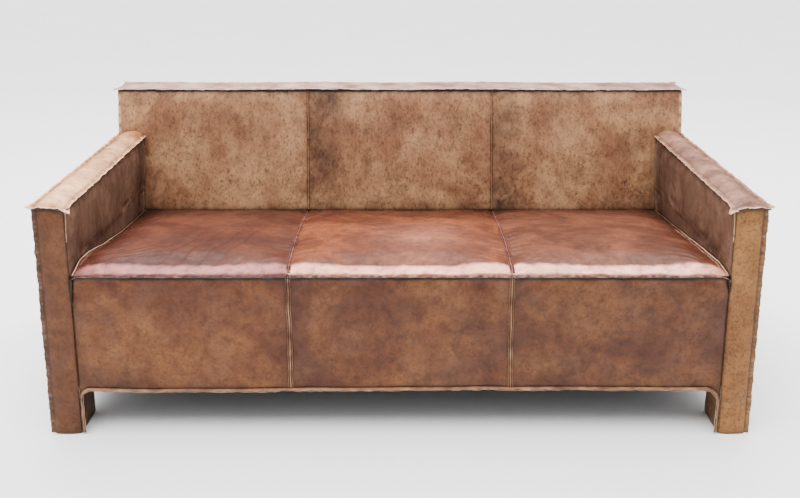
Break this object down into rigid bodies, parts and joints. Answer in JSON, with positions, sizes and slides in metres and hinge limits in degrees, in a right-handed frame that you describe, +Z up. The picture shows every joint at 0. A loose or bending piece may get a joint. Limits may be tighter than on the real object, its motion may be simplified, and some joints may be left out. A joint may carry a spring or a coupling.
{
  "type": "worn leather sofa",
  "caption": "Three-seat sofa in worn brown leather with raw-edge flange seams, thin straight arms and a raked tight back, on leather-covered legs.",
  "frame": {"origin": "centre of the sofa's footprint, on the floor under the glides", "axes": "+X across the sofa to the right of someone facing it, +Y from the front towards the back, +Z up"},
  "size_m": [2, 0.956, 0.846],
  "materials": {
    "hide": "waxed and worn, semi-gloss, creased and scuffed",
    "foam": "open-cell cushion foam",
    "frame_wood": "planed, unfinished",
    "spring_wire": "drawn wire, dull",
    "hessian": "loose plain weave",
    "black_cambric": "thin, matt",
    "glide_nylon": "moulded, matt"
  },
  "bodies": {
    "root": {"apron_padding": "foam", "apron_panel_centre": "hide", "apron_panel_left": "hide", "apron_panel_right": "hide", "arm_front_panel_left": "hide", "arm_front_panel_right": "hide", "arm_inner_foam_left": "foam", "arm_inner_foam_right": "foam", "arm_inner_panel_left": "hide", "arm_inner_panel_right": "hide", "arm_outer_panel_left": "hide", "arm_outer_panel_right": "hide", "arm_rail_left": "frame_wood", "arm_rail_right": "frame_wood", "arm_top_foam_left": "foam", "arm_top_foam_right": "foam", "arm_top_panel_left": "hide", "arm_top_panel_right": "hide", "back_end_panel_left": "hide", "back_end_panel_right": "hide", "back_foam": "foam", "back_hessian": "hessian", "back_lower_rail": "frame_wood", "back_panel_centre": "hide", "back_panel_left": "hide", "back_panel_right": "hide", "back_post_left": "frame_wood", "back_post_right": "frame_wood", "back_springs": "spring_wire", "back_top_boxing": "hide", "back_top_padding": "foam", "back_top_rail": "frame_wood", "back_upright_left": "frame_wood", "back_upright_right": "frame_wood", "corner_block_left": "frame_wood", "corner_block_right": "frame_wood", "dust_cover": "black_cambric", "front_glide_left": "glide_nylon", "front_glide_right": "glide_nylon", "front_leg_sleeve_left": "hide", "front_leg_sleeve_right": "hide", "front_post_left": "frame_wood", "front_post_right": "frame_wood", "outside_back_panel": "hide", "rear_glide_left": "glide_nylon", "rear_glide_right": "glide_nylon", "rear_leg_sleeve_left": "hide", "rear_leg_sleeve_right": "hide", "seat_centre_rail": "frame_wood", "seat_end_rail_left": "frame_wood", "seat_end_rail_right": "frame_wood", "seat_foam": "foam", "seat_front_rail": "frame_wood", "seat_hessian": "hessian", "seat_panel_centre": "hide", "seat_panel_left": "hide", "seat_panel_right": "hide", "seat_rear_rail": "frame_wood", "seat_springs": "spring_wire"}
  },
  "joints": []
}
